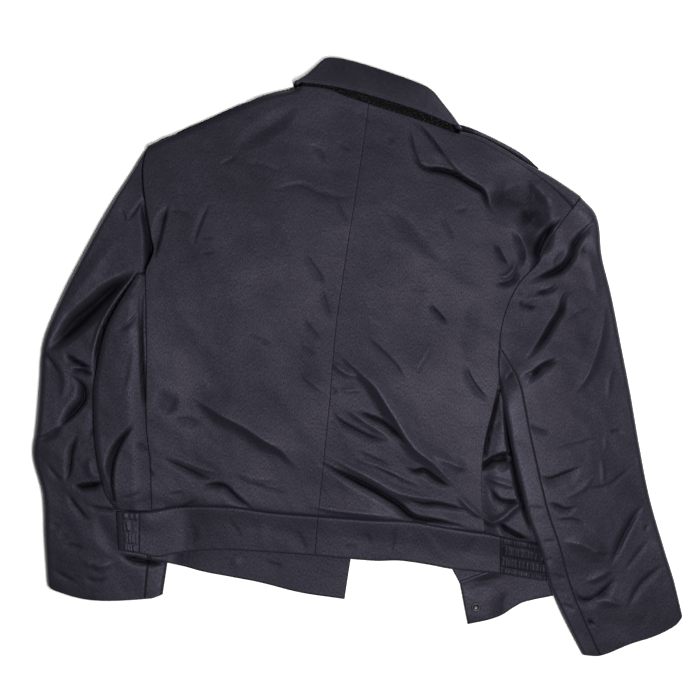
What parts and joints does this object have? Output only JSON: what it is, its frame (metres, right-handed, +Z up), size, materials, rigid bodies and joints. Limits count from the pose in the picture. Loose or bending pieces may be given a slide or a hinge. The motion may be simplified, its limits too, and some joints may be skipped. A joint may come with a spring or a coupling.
{
  "type": "ike jacket",
  "caption": "Short waist-length uniform jacket laid flat with its back up, with a turned-down collar, long sleeves and a waistband with gathered elastic ends.",
  "frame": {"origin": "centre of the bounding box in plan, on the surface that the jacket lies on", "axes": "+Y along the centre-back seam towards the collar, +X to the right of the back as it is seen from above, +Z up out of the back"},
  "size_m": [0.8664, 0.7354, 0.0311],
  "materials": {
    "navy_gabardine": "twill with a slight sheen",
    "collar_felt": "matt felt",
    "dark_metal": "blackened, satin"
  },
  "bodies": {
    "root": {"back_left": "navy_gabardine", "back_right": "navy_gabardine", "side_left": "navy_gabardine", "side_right": "navy_gabardine", "front_left": "navy_gabardine", "front_right": "navy_gabardine", "sleeve_left_top": "navy_gabardine", "sleeve_left_under": "navy_gabardine", "sleeve_right_top": "navy_gabardine", "sleeve_right_under": "navy_gabardine", "collar_fall": "navy_gabardine", "collar_stand": "collar_felt", "waistband_back_left": "navy_gabardine", "waistband_back_right": "navy_gabardine", "elastic_left": "navy_gabardine", "elastic_right": "navy_gabardine", "waistband_front_left": "navy_gabardine", "waistband_front_right": "navy_gabardine", "epaulette_left": "navy_gabardine", "epaulette_right": "navy_gabardine", "button": "dark_metal", "button_backing": "dark_metal"}
  },
  "joints": []
}
